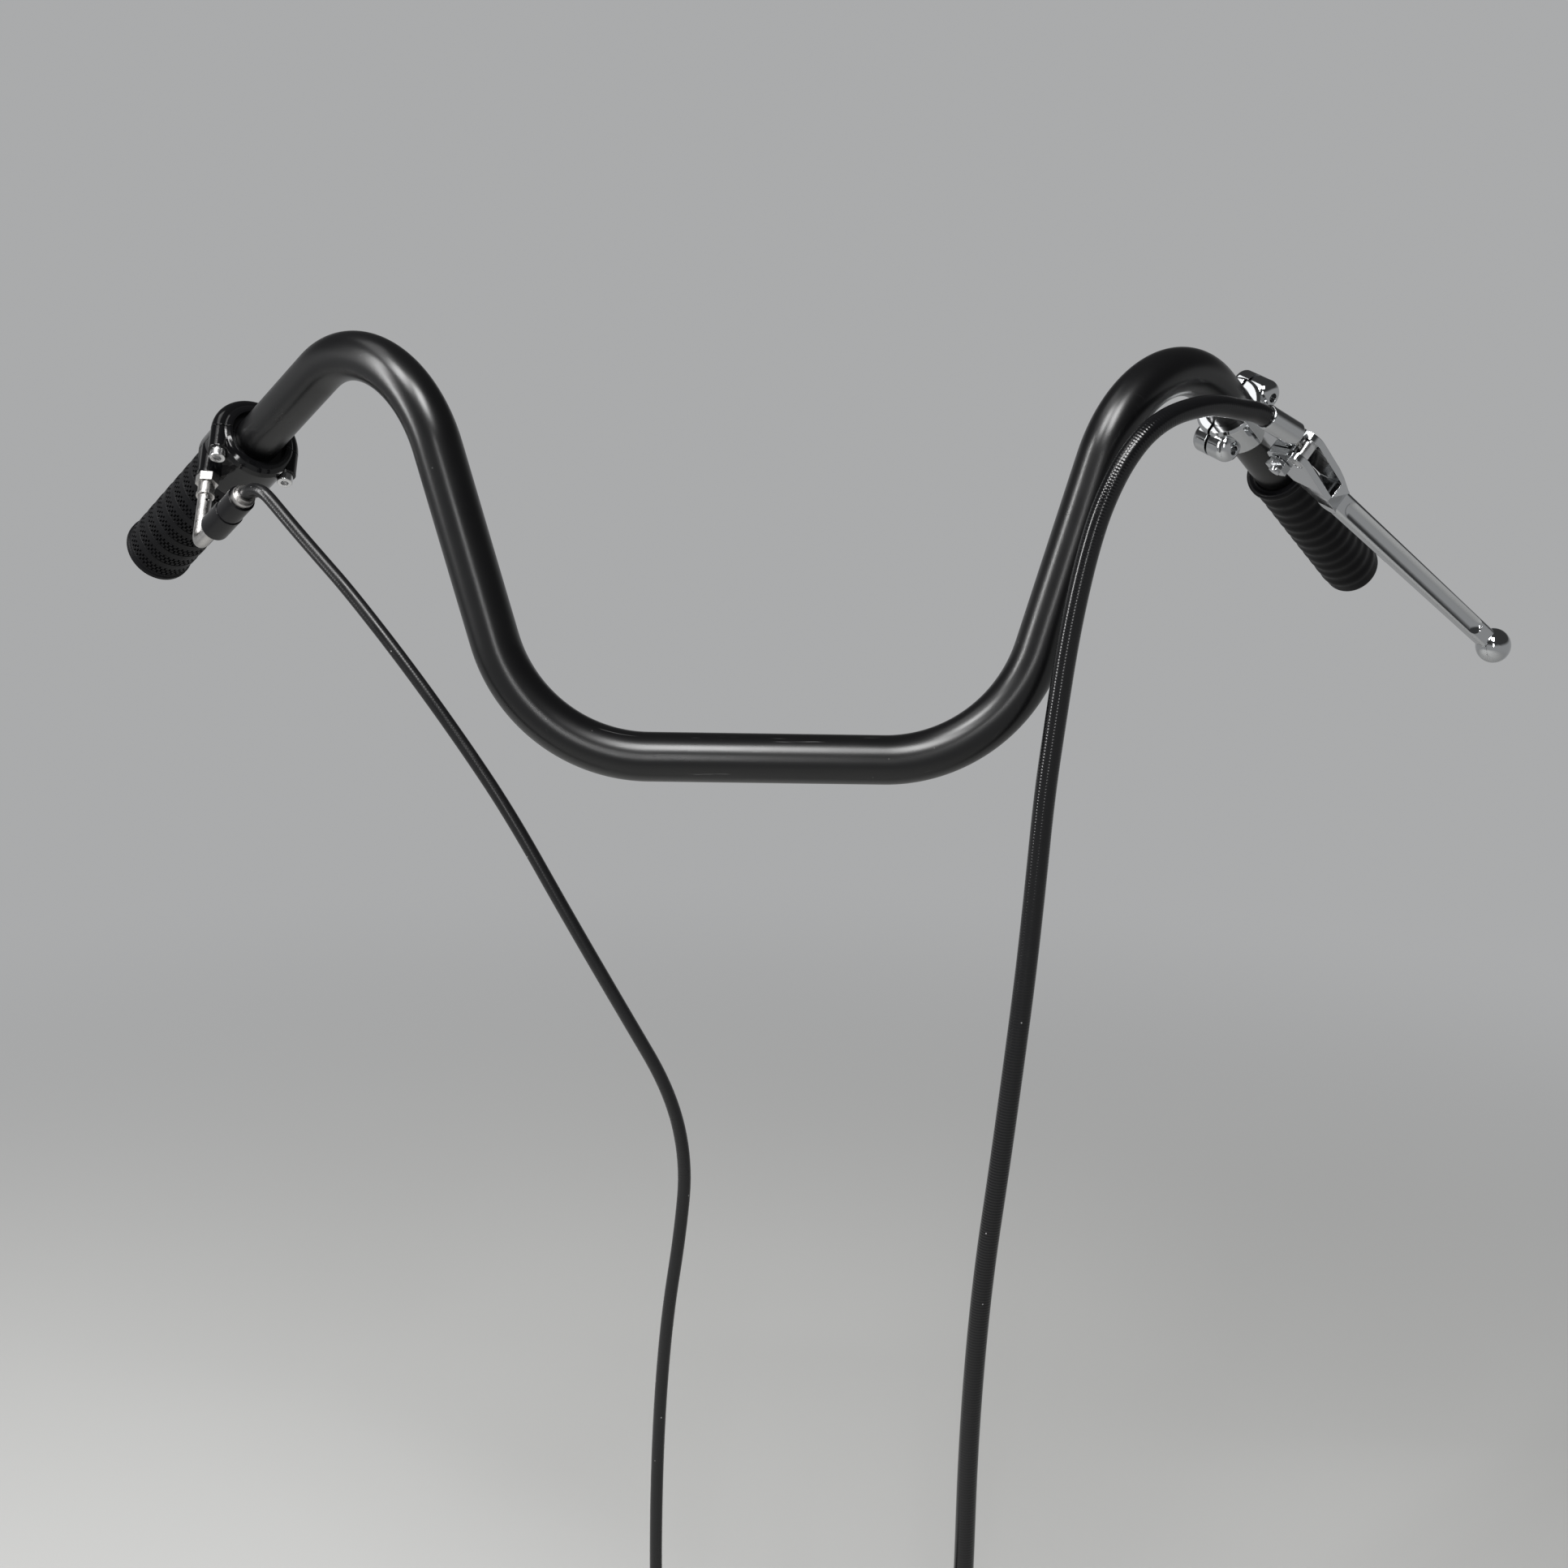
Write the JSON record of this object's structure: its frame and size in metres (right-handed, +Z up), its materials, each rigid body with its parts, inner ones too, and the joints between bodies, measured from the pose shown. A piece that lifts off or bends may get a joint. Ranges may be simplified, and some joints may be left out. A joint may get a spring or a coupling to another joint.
{
  "type": "motorcycle ape hanger handlebar",
  "caption": "Black ape hanger handlebar with swept-back drooping grips, twist throttle with cable elbow, chrome clutch lever and both control cables.",
  "frame": {"origin": "centre of the straight section that the riser clamps hold", "axes": "+X along the clamped section to the clutch side, +Y back to the rider, +Z up"},
  "size_m": [0.7968, 0.2682, 0.8339],
  "materials": {
    "bar_paint": "satin black paint",
    "housing_paint": "gloss black paint",
    "grip_rubber": "matt moulded black rubber",
    "sleeve_plastic": "plain moulding",
    "plated_steel": "zinc plated, slightly dull",
    "screw_steel": "machined steel",
    "chrome": "polished chrome",
    "boot_rubber": "smooth black rubber",
    "throttle_jacket": "satin black jacket",
    "clutch_jacket": "gloss black ribbed jacket",
    "wire_steel": "stranded steel wire",
    "nipple_brass": "plain brass",
    "tie_plastic": "black strap"
  },
  "bodies": {
    "bar": {"handlebar_tube": "bar_paint", "clutch_grip": "grip_rubber", "throttle_housing_upper": "housing_paint", "throttle_housing_lower": "housing_paint", "throttle_housing_screws": "screw_steel", "throttle_elbow_fitting": "plated_steel", "throttle_elbow_nut": "plated_steel", "throttle_elbow": "plated_steel", "throttle_cable_boot": "boot_rubber", "throttle_cable_ferrule": "plated_steel", "throttle_inner_wire": "wire_steel", "throttle_cable": "throttle_jacket", "throttle_end_ferrule": "plated_steel", "throttle_end_wire": "wire_steel", "clutch_perch": "chrome", "perch_clamp": "chrome", "perch_clamp_screws": "screw_steel", "lever_pivot_bolt": "screw_steel", "lever_pivot_nut": "screw_steel", "clutch_cable": "clutch_jacket", "clutch_cable_coil": "clutch_jacket", "clutch_cable_tail": "clutch_jacket", "clutch_end_ferrule": "plated_steel", "clutch_end_wire": "wire_steel", "clutch_coil_tie": "tie_plastic"},
    "throttle": {"throttle_sleeve": "sleeve_plastic", "throttle_grip": "grip_rubber", "throttle_drum_nipple": "nipple_brass"},
    "lever": {"clutch_lever": "chrome"},
    "barrel": {"lever_cable_barrel": "screw_steel", "clutch_inner_wire": "wire_steel"}
  },
  "joints": [
    {"name": "throttle_twist", "type": "hinge", "parent": "bar", "child": "throttle", "pos_m": [-0.35079, 0.2184, 0.06613], "axis": [-0.5581, 0.6091, -0.5635], "range_deg": [0, 75], "stiffness_Nm_per_rad": 0.25},
    {"name": "clutch_squeeze", "type": "hinge", "parent": "bar", "child": "lever", "pos_m": [0.27882, 0.09179, 0.1508], "axis": [0.5817, 0.1971, 0.7892], "range_deg": [0, 17], "stiffness_Nm_per_rad": 1.5},
    {"name": "barrel_turn", "type": "hinge", "parent": "lever", "child": "barrel", "pos_m": [0.28236, 0.07579, 0.15219], "axis": [0.5817, 0.1971, 0.7892], "range_deg": [-17, 0]}
  ],
  "couplings": [
    {"joint": "barrel_turn", "follows": "clutch_squeeze", "ratio": -1}
  ]
}
